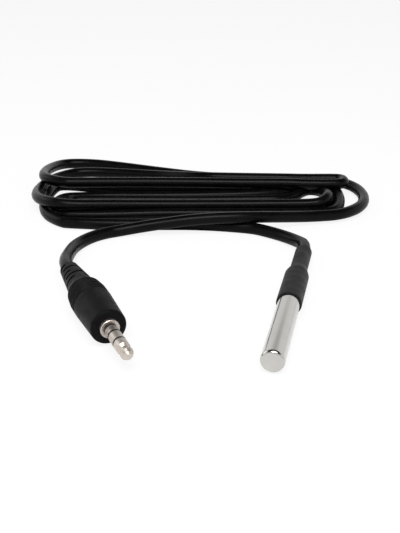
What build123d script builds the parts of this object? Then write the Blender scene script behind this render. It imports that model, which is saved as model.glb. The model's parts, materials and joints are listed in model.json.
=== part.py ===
from build123d import *
from math import cos, pi, radians, sin, tan
import os

# Temperature sensor on a lead: a round steel probe with a shrink sleeve, a thin cable in a loose flat
# hank behind it, and a four-contact audio-size plug. Millimetres. The probe lies along Y with its closed
# end towards -Y, on the plane z = 0. x = 0 is its axis, and y = 0 is halfway along it.

# Driving dimensions: probe
sheath_diameter = 6.0
sheath_length = 47.0
sheath_wall = 0.5
sheath_end_wall = 0.8
sheath_end_rounding = 0.9
groove_lead = 0.4
groove_length = 1.4
groove_depth = 0.25
groove_slope = 0.2
sleeve_wide_diameter = 7.0
sleeve_narrow_diameter = 5.1
sleeve_lap = 17.0
sleeve_overhang = 0.3
shoulder_length = 4.5
sleeve_tail_length = 13.2
sleeve_mouth_y = 32.5
sleeve_edge_length = 0.3
sleeve_edge_drop = 0.15
shoulder_inner_lead = 0.4
cable_diameter = 4.0
core_diameter = 1.1
core_spread = 0.75
cable_end_depth = 10.0
chip_start = 2.2
chip_length = 4.6
chip_radius = 1.9
chip_flat = 0.9
lead_width = 0.45
lead_pitch = 1.27
lead_end = 15.0
joint_length = 3.0
joint_diameter = 0.8
lead_sleeve_diameter = 1.2
lead_sleeve_start = 8.5
lead_sleeve_end = 20.0
tip_fill_start = 0.9
tip_fill_end = 8.0
rear_fill_depth = 9.0
rear_fill_set_back = 0.5
fit_gap = 0.05

# Driving dimensions: plug
face_x = -41.2
face_y = -28.7
plug_turn = -52.3
barrel_diameter = 10.5
barrel_front_diameter = 9.4
front_rounding = 0.7
ridge_band_front = 13.0
ridge_band_rear = 20.5
ridge_count = 7
ridge_depth = 0.3
ridge_valley_shares = (0.25, 0.5, 0.75)
tapering_ridges = 3
ridge_taper = 0.12
band_end_length = 0.3
band_end_drop = 0.6
neck_diameter = 7.8
neck_place = 23.5
relief_end_diameter = 5.4
relief_length = 37.0
relief_edge_length = 0.4
relief_edge_drop = 0.3
slot_rows = 5
slot_width = 1.0
slot_pitch = 2.5
slot_first = 26.0
slot_floor_radius = 2.35
slot_reach = 1.35
pin_diameter = 3.5
pin_length = 15.0
collar_diameter = 5.0
collar_length = 1.0
collar_chamfer = 0.15
collar_tube_wall = 0.4
ring_gap_ends = (1.0, 2.0, 4.15, 4.85, 7.95, 8.65)
tip_land_length = 2.3
tip_cone_length = 0.7
tip_ball_length = 2.6
tip_ball_slope = 0.55
tip_neck_radius = 1.15
tip_ball_radius = 1.65
tip_nose_radius = 1.2
tip_nose_length = 0.65
tip_flat_radius = 0.7
tip_flat_length = 0.2
core_tube_radii = (0.35, 0.55, 0.75, 0.95, 1.15, 1.35)
contact_tail_ends = (-7.0, -5.5, -4.0, -2.5)
tail_step = 0.5
core_gap = 0.1
inner_mould_radius = 3.2
inner_mould_bore = 2.5
inner_mould_end = 17.0
inner_mould_front = 0.6
clamp_radius = 2.35
clamp_start = 14.0
clamp_end = 16.5
plug_cable_start = 13.0

# Driving dimensions: cord and hank
floor_gap = 0.05
plug_run_out = 5.0
probe_run_out = 5.8
hank_x = -65.75
hank_y = 49.94
hank_turn = 13.5
lower_layer = 4.2
rear_band_height = 7.2
rear_band_length = 116.0
rear_band_width = 13.0
rear_band_place = (27.5, 32.6)
front_band_height = 6.4
front_band_length = 96.0
front_band_width = 9.0
front_band_place = (23.0, 7.5)
crossing_height = 8.0
crossing_length = 42.0
crossing_width = 6.4
crossing_place = (34.0, -7.4)
crossing_turn = 5.0
end_crossing_length = 24.0
end_crossing_place = (-23.5, 8.0)
end_crossing_turn = -50.0
stub_length = 9.0
run_share = 0.45
round_over_share = 0.8

# Worked-out values
sheath_radius = sheath_diameter / 2
bore_radius = sheath_radius - sheath_wall
wide_radius = sleeve_wide_diameter / 2
narrow_radius = sleeve_narrow_diameter / 2
cable_radius = cable_diameter / 2
pin_radius = pin_diameter / 2
barrel_radius = barrel_diameter / 2
sleeve_start = sheath_length - sleeve_lap
shoulder_start = sheath_length + sleeve_overhang
shoulder_end = shoulder_start + shoulder_length
sleeve_end = shoulder_end + sleeve_tail_length
tip_y = sleeve_mouth_y - sleeve_end
probe_height = wide_radius
plug_height = barrel_radius
floor_height = cable_radius + floor_gap
plug_direction = Vector(cos(radians(plug_turn)), sin(radians(plug_turn)), 0)

# The probe's section is drawn with its x along the probe from the tip, the plug's with its x towards its
# tip from the front face of the body.
probe_side = Plane(origin=(0, tip_y, probe_height), x_dir=(0, 1, 0), z_dir=(1, 0, 0))
plug_side = Plane(
    origin=(face_x, face_y, plug_height),
    x_dir=plug_direction,
    z_dir=(sin(radians(plug_turn)), -cos(radians(plug_turn)), 0),
)
hank_floor = Plane(
    origin=(hank_x, hank_y, 0),
    x_dir=(cos(radians(hank_turn)), sin(radians(hank_turn)), 0),
    z_dir=(0, 0, 1),
)

os.makedirs("parts", exist_ok=True)


def save(part, name):
    """Labels one piece and writes it to its own file."""
    part.label = name
    export_step(part, f"parts/{name}.step")


def turned(side, outline):
    """A solid of revolution about the x axis of the side view. The outline is (along, out) points."""
    with BuildPart() as solid:
        with BuildSketch(side):
            with BuildLine():
                Polyline(*outline, close=True)
            make_face()
        revolve(axis=Axis(side.origin, side.x_dir))
    return solid


def ring_outline(start, end, inner, outer):
    """The outline of a plain ring or, with no inner radius, of a rod."""
    return [(start, inner), (end, inner), (end, outer), (start, outer)]


def across(side, along, out_x=0, out_z=0):
    """The plane square to the side view's axis, a distance along it, moved sideways and up."""
    origin = side.origin + side.x_dir * along + side.z_dir * out_x + Vector(0, 0, out_z)
    return Plane(origin=origin, x_dir=side.z_dir, z_dir=side.x_dir)


def rod(side, start, end, radius, out_x=0, out_z=0):
    """A round rod along the side view's axis, beside it or on it."""
    with BuildPart() as solid:
        with BuildSketch(across(side, start, out_x, out_z)):
            Circle(radius)
        extrude(amount=end - start)
    return solid


# Sheath: a drawn tube with a closed, rounded end, and a rolled groove that the sleeve's edge grips
groove_start = sleeve_start - groove_lead
groove_end = groove_start + groove_length
groove_radius = sheath_radius - groove_depth
with BuildPart() as sheath:
    with BuildSketch(probe_side):
        with BuildLine():
            Line((0, 0), (0, sheath_radius - sheath_end_rounding))
            RadiusArc(
                (0, sheath_radius - sheath_end_rounding),
                (sheath_end_rounding, sheath_radius),
                sheath_end_rounding,
            )
            Polyline(
                (sheath_end_rounding, sheath_radius),
                (groove_start, sheath_radius),
                (groove_start + groove_slope, groove_radius),
                (groove_end - groove_slope, groove_radius),
                (groove_end, sheath_radius),
                (sheath_length, sheath_radius),
                (sheath_length, bore_radius),
                (sheath_end_wall, bore_radius),
                (sheath_end_wall, 0),
                (0, 0),
            )
        make_face()
    revolve(axis=Axis(probe_side.origin, probe_side.x_dir))
save(sheath.part, "sheath_tube")

# Shrink sleeve: wide over the sheath, a shoulder past its end, narrow over the cable
shrink_sleeve = turned(
    probe_side,
    [
        (sleeve_start, groove_radius),
        (sleeve_start, wide_radius - sleeve_edge_drop),
        (sleeve_start + sleeve_edge_length, wide_radius),
        (shoulder_start, wide_radius),
        (shoulder_end, narrow_radius),
        (sleeve_end, narrow_radius),
        (sleeve_end, cable_radius),
        (shoulder_end - shoulder_inner_lead, cable_radius),
        (sheath_length, sheath_radius),
        (groove_end, sheath_radius),
        (groove_end - groove_slope, groove_radius),
    ],
)
save(shrink_sleeve.part, "shrink_sleeve")


def chip_section():
    """The half-round section of the sensing chip, in the open sketch."""
    Circle(chip_radius)
    with Locations((0, -chip_radius - chip_flat)):
        Rectangle(2 * chip_radius, 2 * chip_radius, mode=Mode.SUBTRACT)


# Sensing chip: a half-round moulded body behind the closed end
with BuildPart() as chip:
    with BuildSketch(across(probe_side, chip_start)):
        chip_section()
    extrude(amount=chip_length)
save(chip.part, "sensing_chip")

# Three legs, each with its solder joint, insulating sleeve and core
chip_end = chip_start + chip_length
joint_start = lead_end
joint_end = joint_start + joint_length
cable_end_in_sheath = sheath_length - cable_end_depth
for number, place in enumerate((-1, 0, 1), start=1):
    leg_x = place * lead_pitch
    with BuildPart() as leg:
        with BuildSketch(across(probe_side, chip_end, leg_x)):
            Rectangle(lead_width, lead_width)
        extrude(amount=lead_end - chip_end)
    save(leg.part, f"chip_leg_{number}")
    joint = rod(probe_side, joint_start, joint_end, joint_diameter / 2, leg_x)
    save(joint.part, f"solder_joint_{number}")
    core = rod(probe_side, joint_end, cable_end_in_sheath, core_diameter / 2, leg_x)
    save(core.part, f"probe_core_{number}")
    with BuildPart() as leg_sleeve:
        with BuildSketch(across(probe_side, lead_sleeve_start, leg_x)):
            Circle(lead_sleeve_diameter / 2)
            Circle(core_diameter / 2, mode=Mode.SUBTRACT)
        extrude(amount=lead_sleeve_end - lead_sleeve_start)
    save(leg_sleeve.part, f"leg_sleeve_{number}")

# Potting: resin round the chip and a resin collar round the cable at the mouth of the sheath
with BuildPart() as tip_fill:
    with BuildSketch(across(probe_side, tip_fill_start)):
        Circle(bore_radius - fit_gap)
    extrude(amount=tip_fill_end - tip_fill_start)
    with BuildSketch(across(probe_side, chip_start)):
        chip_section()
    extrude(amount=chip_length, mode=Mode.SUBTRACT)
    with BuildSketch(across(probe_side, chip_end)):
        with GridLocations(lead_pitch, lead_pitch, 3, 1):
            Rectangle(lead_width, lead_width)
    extrude(amount=tip_fill_end - chip_end, mode=Mode.SUBTRACT)
save(tip_fill.part, "tip_potting")

rear_fill_start = sheath_length - rear_fill_depth
rear_fill_end = sheath_length - rear_fill_set_back
rear_fill = turned(probe_side, ring_outline(rear_fill_start, rear_fill_end, cable_radius, bore_radius))
save(rear_fill.part, "mouth_potting")

# Cable end inside the probe, from the cores' start to the mouth of the shrink sleeve
probe_cable_end = rod(probe_side, cable_end_in_sheath, sleeve_end, cable_radius)
save(probe_cable_end.part, "probe_cable_end")

# Plug contacts: tip, two rings and the collar sleeve, on nested tubes with insulators between them
gap_1_start, gap_1_end, gap_2_start, gap_2_end, gap_3_start, gap_3_end = ring_gap_ends
rod_radius, tube_1, tube_2, tube_3, tube_4, tube_5 = core_tube_radii
tip_tail, ring_1_tail, ring_2_tail, collar_tail = contact_tail_ends
land_end = gap_3_end + tip_land_length
ball_start = pin_length - tip_ball_length
plug_tip = turned(
    plug_side,
    [
        (tip_tail, 0),
        (tip_tail, rod_radius),
        (gap_3_end, rod_radius),
        (gap_3_end, pin_radius),
        (land_end, pin_radius),
        (land_end + tip_cone_length, tip_neck_radius),
        (ball_start, tip_neck_radius),
        (ball_start + tip_ball_slope, tip_ball_radius),
        (ball_start + 2 * tip_ball_slope, tip_ball_radius),
        (pin_length - tip_nose_length, tip_nose_radius),
        (pin_length - tip_flat_length, tip_flat_radius),
        (pin_length, 0),
    ],
)
save(plug_tip.part, "plug_tip")


def stepped(start, end, inner, outer, tail_end, tail_outer):
    """A ring at the pin's surface on a thinner tube that runs back into the body."""
    return turned(
        plug_side,
        [
            (tail_end, inner),
            (end, inner),
            (end, outer),
            (start, outer),
            (start, tail_outer),
            (tail_end, tail_outer),
        ],
    )


save(
    stepped(gap_3_start, gap_3_end, rod_radius, pin_radius, tip_tail + tail_step, tube_1).part,
    "plug_insulator_front",
)
save(
    stepped(gap_2_end, gap_3_start, tube_1, pin_radius, ring_1_tail, tube_2).part,
    "plug_ring_front",
)
save(
    stepped(gap_2_start, gap_2_end, tube_2, pin_radius, ring_1_tail + tail_step, tube_3).part,
    "plug_insulator_middle",
)
save(
    stepped(gap_1_end, gap_2_start, tube_3, pin_radius, ring_2_tail, tube_4).part,
    "plug_ring_rear",
)
save(
    stepped(gap_1_start, gap_1_end, tube_4, pin_radius, ring_2_tail + tail_step, tube_5).part,
    "plug_insulator_rear",
)
collar_radius = collar_diameter / 2
collar_tube_radius = pin_radius + collar_tube_wall
plug_collar = turned(
    plug_side,
    [
        (collar_tail, tube_5),
        (collar_length, tube_5),
        (collar_length, collar_radius - collar_chamfer),
        (collar_length - collar_chamfer, collar_radius),
        (0, collar_radius),
        (0, collar_tube_radius),
        (collar_tail, collar_tube_radius),
    ],
)
save(plug_collar.part, "plug_collar")

# Inner mould: a stiff shell round the contact tails and the solder joints
inner_mould = turned(
    plug_side,
    [
        (-inner_mould_front, collar_tube_radius),
        (-inner_mould_front, inner_mould_radius),
        (-inner_mould_end, inner_mould_radius),
        (-inner_mould_end, inner_mould_bore),
        (collar_tail - fit_gap, inner_mould_bore),
        (collar_tail - fit_gap, collar_tube_radius),
    ],
)
save(inner_mould.part, "plug_inner_mould")

# Clamp round the cable, and the three cores from the cable to the contact tails
cable_clamp = turned(plug_side, ring_outline(-clamp_end, -clamp_start, cable_radius, clamp_radius))
save(cable_clamp.part, "plug_cable_clamp")
plug_cable_end = rod(plug_side, -relief_length, -plug_cable_start, cable_radius)
save(plug_cable_end.part, "plug_cable_end")
for number, place in enumerate((0, 1, 2), start=1):
    angle = radians(120 * place + 90)
    core = rod(
        plug_side,
        -plug_cable_start,
        tip_tail - core_gap,
        core_diameter / 2,
        core_spread * cos(angle),
        core_spread * sin(angle),
    )
    save(core.part, f"plug_core_{number}")

# Overmould: front face, smooth barrel, band of fine ridges, neck, and a slotted strain relief
ridge_step = (ridge_band_rear - ridge_band_front) / ridge_count
valley_start_share, valley_end_share, crest_start_share = ridge_valley_shares
front_radius = barrel_front_diameter / 2
relief_end_radius = relief_end_diameter / 2
band = []
for number in range(ridge_count):
    ridge_start = ridge_band_front + number * ridge_step
    crest = barrel_radius - ridge_taper * max(0, number + tapering_ridges + 1 - ridge_count)
    band += [
        (-ridge_start - valley_start_share * ridge_step, crest - ridge_depth),
        (-ridge_start - valley_end_share * ridge_step, crest - ridge_depth),
        (-ridge_start - crest_start_share * ridge_step, crest),
        (-ridge_start - ridge_step, crest),
    ]
with BuildPart() as overmould:
    with BuildSketch(plug_side):
        with BuildLine():
            Line((0, collar_tube_radius), (0, front_radius - front_rounding))
            RadiusArc(
                (0, front_radius - front_rounding),
                (-front_rounding, front_radius),
                -front_rounding,
            )
            Polyline(
                (-front_rounding, front_radius),
                (-ridge_band_front, barrel_radius),
                *band,
                (-ridge_band_rear - band_end_length, barrel_radius - band_end_drop),
                (-neck_place, neck_diameter / 2),
                (-relief_length + relief_edge_length, relief_end_radius),
                (-relief_length, relief_end_radius - relief_edge_drop),
                (-relief_length, cable_radius),
                (-inner_mould_end, cable_radius),
                (-inner_mould_end, inner_mould_radius),
                (-inner_mould_front, inner_mould_radius),
                (-inner_mould_front, collar_tube_radius),
                (0, collar_tube_radius),
            )
        make_face()
    revolve(axis=Axis(plug_side.origin, plug_side.x_dir))
with BuildPart() as slots:
    for number in range(slot_rows):
        start = -(slot_first + number * slot_pitch)
        for way in (-1, 1):
            sideways = number % 2 == 0
            with BuildSketch(across(plug_side, start)):
                Circle(barrel_radius)
                Circle(slot_floor_radius, mode=Mode.SUBTRACT)
                middle = way * (slot_reach + barrel_radius / 2)
                with Locations((middle, 0) if sideways else (0, middle)):
                    turn = 0 if sideways else 90
                    Rectangle(barrel_radius, 2 * barrel_radius, rotation=turn, mode=Mode.INTERSECT)
            extrude(amount=slot_width)
with BuildPart() as slotted_body:
    add(overmould.part)
    add(slots.part, mode=Mode.SUBTRACT)
save(slotted_body.part, "plug_overmould")


def cord_tube(points, first_plane):
    """A plain tube along straight runs and tangent arcs, each arc as large as its two runs allow."""
    radii = []
    for before, here, after in zip(points, points[1:], points[2:]):
        run_in = Vector(*here) - Vector(*before)
        run_out = Vector(*after) - Vector(*here)
        turn = radians(run_in.get_angle(run_out))
        radii.append(run_share * min(run_in.length, run_out.length) / tan(turn / 2))
    with BuildPart() as tube:
        with BuildLine() as route:
            FilletPolyline(*points, radius=radii)
        with BuildSketch(first_plane):
            Circle(cable_radius)
        sweep(path=route.wires()[0])
    section = pi * cable_radius**2
    share = tube.part.volume / (section * route.wires()[0].length)
    print("arc radii", [round(radius, 1) for radius in radii], "length", round(route.wires()[0].length, 1))
    print("volume over section times length", round(share, 4))
    return tube


# Cord from the plug: out of the strain relief, down to the floor and round into the hank
plug_exit = plug_side.origin - plug_direction * relief_length
plug_run_end = plug_exit - plug_direction * plug_run_out
plug_tail_points = [
    tuple(plug_exit),
    tuple(plug_run_end),
    (-70.2, 15.0, 3.2),
    (-71.8, 24.0, floor_height),
    (-69.9, 31.0, floor_height),
    (-66.4, 36.2, floor_height),
    (-62.0, 39.6, floor_height),
]
plug_tail = cord_tube(plug_tail_points, Plane(origin=plug_tail_points[0], z_dir=-plug_direction))
save(plug_tail.part, "cord_to_plug")

# Cord from the probe: out of the shrink sleeve, down to the floor and round into the hank
probe_tail_points = [
    (0, sleeve_mouth_y, probe_height),
    (0, sleeve_mouth_y + probe_run_out, probe_height),
    (-3.2, 43.4, 2.5),
    (-8.4, 47.8, floor_height),
    (-15.0, 50.8, floor_height),
]
probe_tail = cord_tube(probe_tail_points, Plane(origin=probe_tail_points[0], z_dir=(0, 1, 0)))
save(probe_tail.part, "cord_to_probe")

# Hank: one closed solid of the outer shape of the wound turns: a lower layer inside the outline, the bands
# where turns cross over it, and a stub where each tail joins it
hank_outline = [
    (-22.5, 0.0),
    (-7.0, -4.0),
    (5.0, -7.0),
    (16.0, -11.2),
    (32.0, -11.6),
    (48.0, -8.6),
    (66.0, -0.6),
    (83.0, 8.6),
    (90.6, 18.0),
    (90.2, 31.0),
    (80.0, 42.6),
    (56.0, 46.6),
    (28.0, 47.2),
    (4.0, 56.0),
    (-22.0, 66.6),
    (-35.2, 59.5),
    (-36.6, 43.0),
    (-36.4, 28.0),
    (-29.5, 13.0),
]


def rounded_over(layer):
    """Rounds the upper edge of one layer of turns."""
    with BuildPart() as rounded:
        add(layer.part)
        fillet(rounded.edges().group_by(Axis.Z)[-1], radius=round_over_share * cable_radius)
    return rounded


def band_of_turns(place, length, width, height, turn=0):
    """Turns that lie side by side along the hank, as one slot-shaped block with a rounded upper edge."""
    with BuildPart() as block:
        with BuildSketch(hank_floor):
            with Locations(place):
                SlotOverall(length, width, rotation=turn)
        extrude(amount=height)
    return rounded_over(block)


with BuildPart() as lower_turns:
    with BuildSketch(hank_floor):
        with BuildLine():
            Spline(*hank_outline, periodic=True)
        make_face()
    extrude(amount=lower_layer)
layers = [
    rounded_over(lower_turns),
    band_of_turns(rear_band_place, rear_band_length, rear_band_width, rear_band_height),
    band_of_turns(front_band_place, front_band_length, front_band_width, front_band_height),
    band_of_turns(crossing_place, crossing_length, crossing_width, crossing_height, crossing_turn),
    band_of_turns(
        end_crossing_place, end_crossing_length, crossing_width, crossing_height, end_crossing_turn
    ),
]
for points in (plug_tail_points, probe_tail_points):
    end = Vector(*points[-1])
    way = (end - Vector(*points[-2])).normalized()
    with BuildPart() as stub:
        with BuildSketch(Plane(origin=end, z_dir=way)):
            Circle(cable_radius)
        extrude(amount=stub_length)
    layers.append(stub)
with BuildPart() as hank:
    for layer in layers:
        add(layer.part)
save(hank.part, "cord_hank")
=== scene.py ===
# %% [markdown]
# # A temperature sensor on a lead
#
# The object is a round steel probe in a black sleeve, a thin black cable in a loose flat hank,
# and a small four-contact plug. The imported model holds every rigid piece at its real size, as
# far as a photograph gives it. This script gives those pieces their finishes, winds the real
# cable where the model has a plain solid, and lights the whole.

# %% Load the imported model
import json
from math import cos, exp, pi, radians, sin

import bpy
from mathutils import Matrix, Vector


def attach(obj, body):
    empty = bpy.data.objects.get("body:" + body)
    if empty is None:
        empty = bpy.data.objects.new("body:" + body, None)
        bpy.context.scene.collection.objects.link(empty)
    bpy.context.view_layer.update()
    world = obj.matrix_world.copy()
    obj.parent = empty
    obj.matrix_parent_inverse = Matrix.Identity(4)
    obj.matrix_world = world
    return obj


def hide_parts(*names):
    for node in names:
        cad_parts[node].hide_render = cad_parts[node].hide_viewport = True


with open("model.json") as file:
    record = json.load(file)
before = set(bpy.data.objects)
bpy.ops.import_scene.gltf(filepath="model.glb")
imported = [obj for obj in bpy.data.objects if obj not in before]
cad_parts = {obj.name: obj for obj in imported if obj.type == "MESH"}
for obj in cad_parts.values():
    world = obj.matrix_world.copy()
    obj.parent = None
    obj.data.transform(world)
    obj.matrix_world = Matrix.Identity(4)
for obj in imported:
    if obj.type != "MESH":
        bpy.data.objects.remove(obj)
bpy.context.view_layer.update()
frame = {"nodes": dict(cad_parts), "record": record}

MM = 0.001
nodes = frame["nodes"]
record = frame["record"]

# %% [markdown]
# ## Camera
#
# The camera comes first, because everything after it is judged through it. It stands in front
# of the probe's closed end, a little to its right, and looks down at about 25 degrees. The
# picture is 400 by 533, so the sensor's 36 mm lie along the tall side.

# %% Camera
SENSOR_WIDTH = 36.0
FOCAL_LENGTH = 50.99
NEAREST_SEEN = 0.01
CAMERA_PLACE = (0.01858, -0.18179, 0.09749)
CAMERA_TILT = radians(65.093)
CAMERA_TURN = radians(13.477)
lens = bpy.data.cameras.new("camera")
lens.sensor_width = SENSOR_WIDTH
lens.lens = FOCAL_LENGTH
lens.clip_start = NEAREST_SEEN
camera = bpy.data.objects.new("camera", lens)
camera.location = CAMERA_PLACE
camera.rotation_euler = (CAMERA_TILT, 0.0, CAMERA_TURN)
bpy.context.scene.collection.objects.link(camera)
bpy.context.scene.camera = camera
print("camera at", tuple(camera.location))

# %% [markdown]
# ## The cable's two free ends
#
# The real cable is 4 mm thick and very limp. One end runs straight out of the probe's sleeve
# and bends away at once. The other runs out of the plug's strain relief and round to the hank.
# A short list of points is enough for each, because the curve that follows them is
# smooth. They are the same points as in the model's source, in metres.

# %% Free ends
CABLE_DIAMETER = 4.0 * MM
PROBE_EXIT = (0.0, 0.0325, 0.0035)
PROBE_END = [
    PROBE_EXIT,
    (0.0, 0.0383, 0.0035),
    (-0.0032, 0.0434, 0.0025),
    (-0.0084, 0.0478, 0.00205),
    (-0.0150, 0.0508, 0.00205),
]
PLUG_END = [
    (-0.0638265, 0.0005753, 0.00525),
    (-0.0668841, 0.0045314, 0.00525),
    (-0.0702, 0.0150, 0.0032),
    (-0.0718, 0.0240, 0.00205),
    (-0.0699, 0.0310, 0.00205),
    (-0.0664, 0.0362, 0.00205),
    (-0.0620, 0.0396, 0.00205),
]
print("free ends:", len(PROBE_END), "and", len(PLUG_END), "points")

# %% [markdown]
# ## Where the hank lies
#
# The hank is long and flat, and lies across behind the probe at a slant. It is easiest to think
# of in its own directions: `along` its runs from left to right, `away` from the camera across
# them, and up. One helper turns such a place into metres in the model's directions.

# %% The hank's own directions
HANK_CORNER = (-65.75, 49.94)
HANK_SLANT = radians(13.5)


def hank_place(along, away, up):
    """A place in the hank, in mm along, away and up, as metres in the model's directions."""
    x = HANK_CORNER[0] + along * cos(HANK_SLANT) - away * sin(HANK_SLANT)
    y = HANK_CORNER[1] + along * sin(HANK_SLANT) + away * cos(HANK_SLANT)
    return (x * MM, y * MM, up * MM)


print("hank starts at", hank_place(0, 0, 0))


# %% [markdown]
# ## Winding the hank
#
# Nobody winds a hank neatly: each run lies where the hand left it, and the end loops differ in
# size. So each run has its own places, a few across the hank with how far away and how high it
# lies, and each end loop its own reach and lean. The lower strands lie on the floor, and where
# a strand crosses others its places are higher. In the tightest loops the strands still press
# into each other, by up to about 1.4 mm.

# %% Runs and end loops
# The places along the hank, in mm, at which each run says how far away and how high its centre
# lies. A run that doesn't reach a place has None there.
STATIONS = (-17, -6, 11, 28, 45, 61, 68)
RUNS = [
    ((-3.6, 2), (-4.9, 2), (-5.2, 2), (-5.0, 2), (-8.2, 2), None, None),
    ((34.4, 2), (31.6, 2), (31.3, 2), (32.2, 2), (32.2, 2), (34.0, 2), (38.6, 2)),
    ((3.4, 2), (3.3, 2), (4.6, 2), (5.2, 2), (5.0, 2), (5.2, 2), (6.0, 2)),
    ((22.0, 2), (23.2, 2), (23.1, 2), (23.6, 2), (24.6, 2), (27.3, 2), (34.0, 2)),
    (None, (10.6, 2), (11.4, 2), (12.0, 2), (12.2, 2), (12.4, 2), (12.6, 2)),
    (None, (18.8, 2), (18.6, 2), (18.4, 2), (19.0, 2), (19.4, 2), (29.2, 2.4)),
    ((2.9, 6.0), (5.4, 5.2), (8.2, 4.1), (8.5, 4.0), (8.7, 4.0), (8.7, 4.1), (8.7, 4.2)),
    ((53.0, 2), (51.7, 2), (47.6, 2.3), (34.6, 5.8), (33.6, 5.8), (33.2, 5.7), (33.6, 5.4)),
    ((27.2, 6.1), (28.6, 5.7), (28.6, 5.7), (28.5, 5.6), (27.9, 5.6), (27.2, 5.8), (26.2, 5.8)),
    ((64.5, 2), (60.6, 2), (53.4, 2), (46.8, 2), (44.2, 2), (44.0, 2), (43.5, 2)),
    (None, None, (-9.6, 3.4), (-9.8, 5.9), (-8.6, 6.0), (-1.6, 3.4), (0.4, 2.8)),
]
# Each end loop: reach past the last station, lean away, swell, squareness share, lateness share,
# how sharply it settles from the height that it starts at, hump, and the hump's angle in degrees.
END_LOOPS = [
    (12.6, 4.6, 5.6, 0.76, 0.7, 1, 0.0, 90),
    (12.0, 0.5, 1.5, 0.65, 0.3, 1, 1.2, 70),
    (8.0, 0.0, 0.4, 0.62, 0.3, 1, 0.0, 90),
    (9.0, 0.5, 1.0, 0.60, 0.0, 1, 0.0, 90),
    (14.0, 0.0, 0.9, 0.24, 0.0, 1, 0.0, 90),
    (7.0, 0.5, 0.8, 0.55, 0.0, 1, 1.9, 120),
    (16.6, 0.0, 0.0, 0.70, 0.0, 2, 0.8, 30),
    (14.8, 0.0, 1.2, 0.22, 0.0, 1, 0.3, 90),
    (17.2, -1.5, 5.5, 0.62, 0.4, 1, 1.3, 60),
    (21.8, 2.5, 0.0, 0.66, 0.0, 1, 0.0, 90),
]
LOOP_STEPS = 5
HUMP_SPREAD = 0.7

print("runs:", len(RUNS), "end loops:", len(END_LOOPS))

# %% [markdown]
# ## From table to wound cable
#
# On the real hank the hand carries the cable out, turns it round the fingers and carries it
# back. The code does the same: it adds a run's places, then the points of the loop at its end,
# then the next run. The points of a loop sit at even angles round a half circle, so that no
# single point has to take the whole turn.

# %% Wind
def end_loop(side, edge, first, last, shape):
    """The points of one end loop, from first, where a run ends, to last, where the next starts."""
    reach, lean, swell, squareness, lateness, settle, hump, hump_angle = shape
    turn = []
    for step in range(LOOP_STEPS):
        angle = pi * (step + 0.5) / LOOP_STEPS
        half = (last[0] - first[0]) / 2
        half += swell * sin(angle) * (1 if half > 0 else -1)
        away = (first[0] + last[0]) / 2 - half * cos(angle) + lean * sin(angle)
        up = last[1] + (first[1] - last[1]) * ((1 + cos(angle)) / 2) ** settle
        up += hump * exp(-(((angle - radians(hump_angle)) / HUMP_SPREAD) ** 2))
        along = edge + side * reach * sin(angle) ** (squareness * (1 + lateness * cos(angle)))
        turn.append(hank_place(along, away, up))
    return turn


def wind(runs, loops):
    """The whole hank's points, run by run and loop by loop."""
    laid = [[(s, *place) for s, place in zip(STATIONS, run) if place] for run in runs]
    wound = []
    for number, places in enumerate(laid):
        leftward = number % 2 == 0
        wound += [hank_place(*place) for place in (places[::-1] if leftward else places)]
        if number < len(loops):
            end = 0 if leftward else -1
            first, last = places[end], laid[number + 1][end]
            wound += end_loop(-1 if leftward else 1, first[0], first[1:], last[1:], loops[number])
    return wound


hank = wind(RUNS, END_LOOPS)
route = PROBE_END + hank + PLUG_END[::-1]
print("cable route:", len(route), "points in", len(RUNS), "runs")

# %% [markdown]
# ## The cable itself
#
# A cable could be a mesh swept by hand, but a curve with a round bevel is simpler and stays
# smooth. A NURBS spline of order 3 rounds every corner of the route. The order and the end
# setting are given after the points, because Blender limits the order to the number of points
# that the spline already has. Each point carries the cable's radius and the bevel is one,
# because Blender takes a curve's box from those radii.

# %% Cable
SPLINE_ORDER = 3
STEPS_BETWEEN_POINTS = 6
STEPS_ROUND_CABLE = 5


def cable(name, points, diameter):
    """A round cable along the smooth curve of these points."""
    curve = bpy.data.curves.new(name, "CURVE")
    curve.dimensions = "3D"
    spline = curve.splines.new("NURBS")
    spline.points.add(len(points) - 1)
    for point, place in zip(spline.points, points):
        point.co = (*place, 1.0)
        point.radius = diameter / 2
    spline.order_u = SPLINE_ORDER
    spline.use_endpoint_u = True
    curve.resolution_u = STEPS_BETWEEN_POINTS
    curve.bevel_depth = 1.0 if diameter else 0.0
    curve.bevel_resolution = STEPS_ROUND_CABLE
    piece = bpy.data.objects.new(name, curve)
    bpy.context.scene.collection.objects.link(piece)
    return piece


def centre_line(points):
    """The places along the smooth curve of these points."""
    curve = cable("measure", points, 0.0)
    mesh = bpy.data.meshes.new_from_object(curve)
    line = [vertex.co.copy() for vertex in mesh.vertices]
    bpy.data.objects.remove(curve)
    bpy.data.meshes.remove(mesh)
    return line


line = centre_line(route)
sensor_cable = cable("sensor_cable", route, CABLE_DIAMETER)
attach(sensor_cable, "root")
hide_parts("cord_to_probe", "cord_hank", "cord_to_plug")

# %% [markdown]
# ## Finishes: one helper for all
#
# Every finish but that of the contacts starts from the colour that the record gives its slot.
# Black pieces take only a small share of it, so that they look nearly as black as in the
# photograph. The shader is the Principled one, which covers metals and plastics alike. Four
# small helpers add what the eye reads as real: a grain in the object's own coordinates, a
# change of roughness by that grain, a change of colour, and fine relief.

# %% Helpers for finishes
GRAIN_LOW, GRAIN_HIGH = 0.3, 0.7
slot_colours = {entry["slot"]: entry["base_color"] for entry in record["materials"]}
finishes = {}


def new_finish(slot, metallic=0.0, specular=0.5):
    """A material for one slot, with its shader's plain values set."""
    material = bpy.data.materials.new(slot)
    material.use_nodes = True
    shader = material.node_tree.nodes["Principled BSDF"]
    shader.inputs["Base Color"].default_value = (*slot_colours[slot], 1.0)
    shader.inputs["Metallic"].default_value = metallic
    shader.inputs["Specular IOR Level"].default_value = specular
    finishes[slot] = material
    return material, shader


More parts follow.
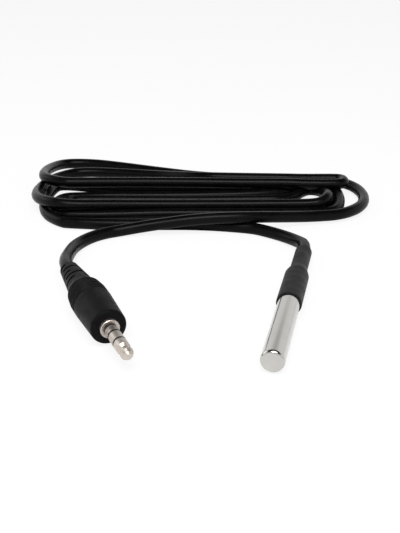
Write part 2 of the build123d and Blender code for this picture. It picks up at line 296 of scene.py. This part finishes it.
def grain(material, scale, stretch=(1.0, 1.0, 1.0), detail=4.0, turn=0.0):
    """A noise in the object's own coordinates, stretched and turned about the upright."""
    tree = material.node_tree
    place = tree.nodes.new("ShaderNodeTexCoord")
    turned = tree.nodes.new("ShaderNodeMapping")
    turned.inputs["Rotation"].default_value = (0.0, 0.0, turn)
    stretched = tree.nodes.new("ShaderNodeMapping")
    stretched.inputs["Scale"].default_value = stretch
    noise = tree.nodes.new("ShaderNodeTexNoise")
    noise.inputs["Scale"].default_value = scale
    noise.inputs["Detail"].default_value = detail
    tree.links.new(place.outputs["Object"], turned.inputs["Vector"])
    tree.links.new(turned.outputs["Vector"], stretched.inputs["Vector"])
    tree.links.new(stretched.outputs["Vector"], noise.inputs["Vector"])
    return noise.outputs["Fac"]


def vary_roughness(material, shader, source, low, high):
    """Roughness follows a grain between two values."""
    span = material.node_tree.nodes.new("ShaderNodeMapRange")
    span.inputs["From Min"].default_value = GRAIN_LOW
    span.inputs["From Max"].default_value = GRAIN_HIGH
    span.inputs["To Min"].default_value = low
    span.inputs["To Max"].default_value = high
    material.node_tree.links.new(source, span.inputs["Value"])
    material.node_tree.links.new(span.outputs["Result"], shader.inputs["Roughness"])


def vary_colour(material, shader, source, darker, lighter):
    """Colour follows a grain between a darker and a lighter share of the slot's own."""
    own = shader.inputs["Base Color"].default_value[:3]
    ramp = material.node_tree.nodes.new("ShaderNodeValToRGB")
    ends = ramp.color_ramp.elements
    ends[0].position, ends[1].position = GRAIN_LOW, GRAIN_HIGH
    ends[0].color = (*[min(1.0, part * darker) for part in own], 1.0)
    ends[1].color = (*[min(1.0, part * lighter) for part in own], 1.0)
    material.node_tree.links.new(source, ramp.inputs["Fac"])
    material.node_tree.links.new(ramp.outputs["Color"], shader.inputs["Base Color"])


def relief(material, shader, source, height):
    """Fine relief of the given height, in metres, on top of any that is there."""
    tree = material.node_tree
    bump = tree.nodes.new("ShaderNodeBump")
    bump.inputs["Distance"].default_value = height
    bump.inputs["Strength"].default_value = 1.0
    tree.links.new(source, bump.inputs["Height"])
    before = shader.inputs["Normal"].links
    if before:
        tree.links.new(before[0].from_socket, bump.inputs["Normal"])
    tree.links.new(bump.outputs["Normal"], shader.inputs["Normal"])


print("slots to finish:", len(slot_colours))

# %% [markdown]
# ## Steel of the probe
#
# The probe is a drawn tube with a satin finish: long fine lines run along it, and the light
# smears a little across them. A noise that is stretched along the tube gives the lines, and a
# broad noise gives the faint clouds that handling leaves.

# %% Probe steel
steel, steel_shader = new_finish("sheath_steel", metallic=1.0)
drawn_lines = grain(steel, scale=900.0, stretch=(1.0, 0.02, 1.0), detail=3.0)
handling = grain(steel, scale=220.0, detail=3.0)
vary_roughness(steel, steel_shader, handling, low=0.11, high=0.18)
vary_colour(steel, steel_shader, handling, darker=0.68, lighter=0.74)
relief(steel, steel_shader, drawn_lines, height=0.004 * MM)
print("finished:", steel.name)

# %% [markdown]
# ## Black sleeve
#
# Heat-shrunk tubing is matt and soft-looking, with a fine leathery skin. A little sheen lifts
# its edges, as on real rubber-like tubing.

# %% Shrink tubing
tubing, tubing_shader = new_finish("shrink_tubing", specular=0.2)
tubing_shader.inputs["Sheen Weight"].default_value = 0.03
tubing_shader.inputs["Sheen Roughness"].default_value = 0.5
skin = grain(tubing, scale=2600.0, detail=5.0)
vary_roughness(tubing, tubing_shader, grain(tubing, scale=300.0), low=0.52, high=0.72)
vary_colour(tubing, tubing_shader, grain(tubing, scale=500.0), darker=0.22, lighter=0.36)
relief(tubing, tubing_shader, skin, height=0.02 * MM)
print("finished:", tubing.name)

# %% [markdown]
# ## Cable jacket
#
# The jacket is extruded soft plastic: darker and smoother than the sleeve, with soft
# highlights. It picks up a little dust, so its roughness is not even. Its IOR is set lower than
# that of real plastic, which brings the highlights nearer to the faint ones in the photograph.

# %% Cable jacket
JACKET_IOR = 1.18
jacket, jacket_shader = new_finish("cable_jacket")
jacket_shader.inputs["IOR"].default_value = JACKET_IOR
dust = grain(jacket, scale=350.0, detail=5.0)
vary_roughness(jacket, jacket_shader, dust, low=0.25, high=0.33)
vary_colour(jacket, jacket_shader, dust, darker=0.06, lighter=0.14)
relief(jacket, jacket_shader, grain(jacket, scale=1800.0), height=0.012 * MM)
print("finished:", jacket.name)

# %% [markdown]
# ## Plug body
#
# The overmould comes from a lightly spark-eroded mould, so it has a fine even texture. Its IOR
# is set low for the same reason as the jacket's. Where the two mould halves meet, a hair line
# runs round it at half height. Relief is enough for so fine a line: it is drawn where a point
# lies close to the height of the plug's axis.

# %% Overmould
PLUG_TURN = radians(-52.3)
PLUG_AXIS_HEIGHT = 5.25 * MM
HAIR_LINE_REACH = 0.12 * MM
OVERMOULD_IOR = 1.14
overmould, overmould_shader = new_finish("overmould_plastic")
overmould_shader.inputs["IOR"].default_value = OVERMOULD_IOR
vary_roughness(overmould, overmould_shader, grain(overmould, scale=400.0), low=0.40, high=0.54)
vary_colour(overmould, overmould_shader, grain(overmould, scale=700.0), darker=0.12, lighter=0.20)
mould_texture = grain(overmould, scale=3200.0, detail=3.0)
relief(overmould, overmould_shader, mould_texture, height=0.012 * MM)
mould_tree = overmould.node_tree
mould_place = mould_tree.nodes.new("ShaderNodeTexCoord")
mould_split = mould_tree.nodes.new("ShaderNodeSeparateXYZ")
above_axis = mould_tree.nodes.new("ShaderNodeMath")
above_axis.operation = "SUBTRACT"
above_axis.inputs[1].default_value = PLUG_AXIS_HEIGHT
from_axis = mould_tree.nodes.new("ShaderNodeMath")
from_axis.operation = "ABSOLUTE"
hair_line = mould_tree.nodes.new("ShaderNodeMapRange")
hair_line.inputs["From Max"].default_value = HAIR_LINE_REACH
hair_line.inputs["To Min"].default_value = 1.0
hair_line.inputs["To Max"].default_value = 0.0
mould_tree.links.new(mould_place.outputs["Object"], mould_split.inputs["Vector"])
mould_tree.links.new(mould_split.outputs["Z"], above_axis.inputs[0])
mould_tree.links.new(above_axis.outputs["Value"], from_axis.inputs[0])
mould_tree.links.new(from_axis.outputs["Value"], hair_line.inputs["Value"])
relief(overmould, overmould_shader, hair_line.outputs["Result"], height=0.03 * MM)
print("finished:", overmould.name)

# %% [markdown]
# ## Contacts
#
# The contacts are turned from brass and nickel plated: bright, with the lathe's very fine rings
# round them. They take a colour of their own, a little warmer than the record's. A noise that
# is stretched across the plug's axis gives the rings.

# %% Contact metal
CONTACT_COLOUR = (0.78, 0.71, 0.64, 1.0)
contacts, contacts_shader = new_finish("contact_metal", metallic=1.0)
contacts_shader.inputs["Base Color"].default_value = CONTACT_COLOUR
rings = grain(contacts, scale=3000.0, stretch=(1.0, 0.01, 0.01), detail=2.0, turn=-PLUG_TURN)
vary_roughness(contacts, contacts_shader, grain(contacts, scale=600.0), low=0.40, high=0.50)
vary_colour(contacts, contacts_shader, grain(contacts, scale=500.0), darker=0.66, lighter=0.76)
relief(contacts, contacts_shader, rings, height=0.002 * MM)
print("finished:", contacts.name)

# %% [markdown]
# ## Insulator rings
#
# Between the contacts sit rings of hard black plastic. They are small, so a plain dark satin
# finish with a slightly uneven shine is all that they need.

# %% Insulator rings
insulator, insulator_shader = new_finish("insulator_plastic", specular=0.25)
vary_colour(insulator, insulator_shader, grain(insulator, scale=700.0), darker=0.25, lighter=0.45)
vary_roughness(insulator, insulator_shader, grain(insulator, scale=900.0), low=0.36, high=0.5)
print("finished:", insulator.name)

# %% [markdown]
# ## Inner pieces
#
# The sensing chip, its legs, the joints, cores and resin are sealed in and show only when the
# model is cut or taken apart. They still get their own finishes, from one table of roughness
# and grain, because they differ only in those.

# %% Inner finishes
INNER_SMOOTHER, INNER_ROUGHER = 0.06, 0.08
INNER_RELIEF = 0.01 * MM
# Each slot: roughness, share of metal, and how fine its grain is
INNER = {
    "chip_body": (0.55, 0.0, 900.0),
    "tinned_wire": (0.28, 1.0, 1500.0),
    "solder": (0.22, 1.0, 1200.0),
    "leg_tubing": (0.50, 0.0, 1400.0),
    "core_red": (0.45, 0.0, 1100.0),
    "core_yellow": (0.45, 0.0, 1100.0),
    "core_black": (0.45, 0.0, 1100.0),
    "potting_resin": (0.30, 0.0, 500.0),
    "clamp_brass": (0.30, 1.0, 1300.0),
    "inner_mould_plastic": (0.52, 0.0, 800.0),
}
for slot, (roughness, metallic, scale) in INNER.items():
    material, shader = new_finish(slot, metallic=metallic)
    fine = grain(material, scale)
    low, high = roughness - INNER_SMOOTHER, roughness + INNER_ROUGHER
    vary_roughness(material, shader, fine, low, high)
    vary_colour(material, shader, fine, darker=0.92, lighter=1.06)
    relief(material, shader, fine, INNER_RELIEF)
print("inner finishes:", len(INNER))

# %% [markdown]
# ## Putting the finishes on
#
# The record says which slot each node takes, so one loop dresses them all. The cable isn't a
# node of the model, so it gets its finish by name.

# %% Dress every node
for part in record["subparts"]:
    mesh = nodes[part["node"]].data
    mesh.materials.clear()
    mesh.materials.append(finishes[part["material_slot"]])
sensor_cable.data.materials.append(finishes["cable_jacket"])
print("finishes:", sorted(finishes))

# %% [markdown]
# ## Floor, background and light
#
# The object lies on plain white. A large floor takes its shadow. One large soft lamp above the
# camera gives the cable its highlights, and the even surroundings fill the rest.

# %% Floor
FLOOR_HALF = 2.0
WHITE = (1.0, 1.0, 1.0, 1.0)
floor_mesh = bpy.data.meshes.new("floor")
corners = [
    (-FLOOR_HALF, -FLOOR_HALF, 0),
    (FLOOR_HALF, -FLOOR_HALF, 0),
    (FLOOR_HALF, FLOOR_HALF, 0),
    (-FLOOR_HALF, FLOOR_HALF, 0),
]
floor_mesh.from_pydata(corners, [], [(0, 1, 2, 3)])
floor = bpy.data.objects.new("floor", floor_mesh)
bpy.context.scene.collection.objects.link(floor)
print("floor:", 2 * FLOOR_HALF, "m wide")

# %% [markdown]
# ## The floor's white
#
# To the camera the floor is mostly its own white light, so that it stays as pale as the
# background without more lamp light on the object. A light path node tells what the camera sees
# from what the object mirrors.

# %% The floor's finish
FLOOR_OWN_LIGHT = 0.88
FLOOR_COLOUR = (0.96, 0.96, 0.96, 1.0)
FLOOR_ROUGHNESS = 0.9
floor_material = bpy.data.materials.new("floor_white")
floor_material.use_nodes = True
floor_tree = floor_material.node_tree
floor_shader = floor_tree.nodes["Principled BSDF"]
floor_shader.inputs["Base Color"].default_value = FLOOR_COLOUR
floor_shader.inputs["Roughness"].default_value = FLOOR_ROUGHNESS
floor_shader.inputs["Specular IOR Level"].default_value = 0.0
floor_glow = floor_tree.nodes.new("ShaderNodeEmission")
floor_glow.inputs["Color"].default_value = WHITE
floor_mix = floor_tree.nodes.new("ShaderNodeMixShader")
seen = floor_tree.nodes.new("ShaderNodeLightPath")
share = floor_tree.nodes.new("ShaderNodeMath")
share.operation = "MULTIPLY"
share.inputs[1].default_value = FLOOR_OWN_LIGHT
floor_tree.links.new(seen.outputs["Is Camera Ray"], share.inputs[0])
floor_tree.links.new(share.outputs["Value"], floor_mix.inputs["Fac"])
floor_tree.links.new(floor_shader.outputs["BSDF"], floor_mix.inputs[1])
floor_tree.links.new(floor_glow.outputs["Emission"], floor_mix.inputs[2])
floor_surface = floor_tree.nodes["Material Output"].inputs["Surface"]
floor_tree.links.new(floor_mix.outputs["Shader"], floor_surface)
floor_mesh.materials.append(floor_material)
print("floor finish:", floor_material.name)

# %% [markdown]
# ## Surroundings
#
# To the camera the surroundings are plain white. Metal and plastic show what lies round them,
# so for their reflections the surroundings are white near the horizon, like paper walls, and
# dark overhead, like a room. Everything else gets one even, dim level.

# %% Surroundings
WALL_TOP = 0.44
DARK_FROM = 0.66
OVERHEAD = (0.06, 0.06, 0.06, 1.0)
EVEN_LEVEL = (0.38, 0.38, 0.38, 1.0)
world = bpy.data.worlds.new("studio")
bpy.context.scene.world = world
world.use_nodes = True
sky = world.node_tree
background = sky.nodes["Background"]
way = sky.nodes.new("ShaderNodeTexCoord")
split = sky.nodes.new("ShaderNodeSeparateXYZ")
height = sky.nodes.new("ShaderNodeValToRGB")
height.color_ramp.elements[0].position = WALL_TOP
height.color_ramp.elements[0].color = WHITE
height.color_ramp.elements[1].position = DARK_FROM
height.color_ramp.elements[1].color = OVERHEAD
ray = sky.nodes.new("ShaderNodeLightPath")
even = sky.nodes.new("ShaderNodeMix")
even.data_type = "RGBA"
even.inputs["A"].default_value = EVEN_LEVEL
clear = sky.nodes.new("ShaderNodeMix")
clear.data_type = "RGBA"
clear.inputs["B"].default_value = WHITE
see_through = sky.nodes.new("ShaderNodeMath")
see_through.operation = "MAXIMUM"
sky.links.new(way.outputs["Generated"], split.inputs["Vector"])
sky.links.new(split.outputs["Z"], height.inputs["Fac"])
sky.links.new(ray.outputs["Is Glossy Ray"], even.inputs["Factor"])
sky.links.new(height.outputs["Color"], even.inputs["B"])
sky.links.new(ray.outputs["Is Camera Ray"], see_through.inputs[0])
sky.links.new(ray.outputs["Is Transmission Ray"], see_through.inputs[1])
sky.links.new(see_through.outputs["Value"], clear.inputs["Factor"])
sky.links.new(even.outputs["Result"], clear.inputs["A"])
sky.links.new(clear.outputs["Result"], background.inputs["Color"])
print("surroundings:", world.name)

# %% [markdown]
# ## Lamps
#
# Two soft lamps do the rest. The large one hangs above the camera and lays a highlight along
# the runs of cable; the weak one on the left lightens the plug's shaded side.

# %% Lamps
def soft_lamp(name, place, target, width, depth, power):
    """A soft rectangular lamp that faces a place on the object."""
    lamp = bpy.data.lights.new(name, "AREA")
    lamp.shape = "RECTANGLE"
    lamp.size, lamp.size_y = width, depth
    lamp.energy = power
    stand = bpy.data.objects.new(name, lamp)
    stand.location = place
    way_down = Vector(target) - Vector(place)
    stand.rotation_euler = way_down.to_track_quat("-Z", "Y").to_euler()
    bpy.context.scene.collection.objects.link(stand)


MIDDLE = (-0.03, 0.03, 0.0)
soft_lamp("lamp_above", (0.05, -0.28, 0.52), MIDDLE, width=0.40, depth=0.26, power=3.2)
soft_lamp("lamp_left", (-0.60, 0.10, 0.35), MIDDLE, width=0.30, depth=0.40, power=0.5)
bpy.context.scene.view_settings.view_transform = "Standard"
print("lamps:", len(bpy.data.lights))
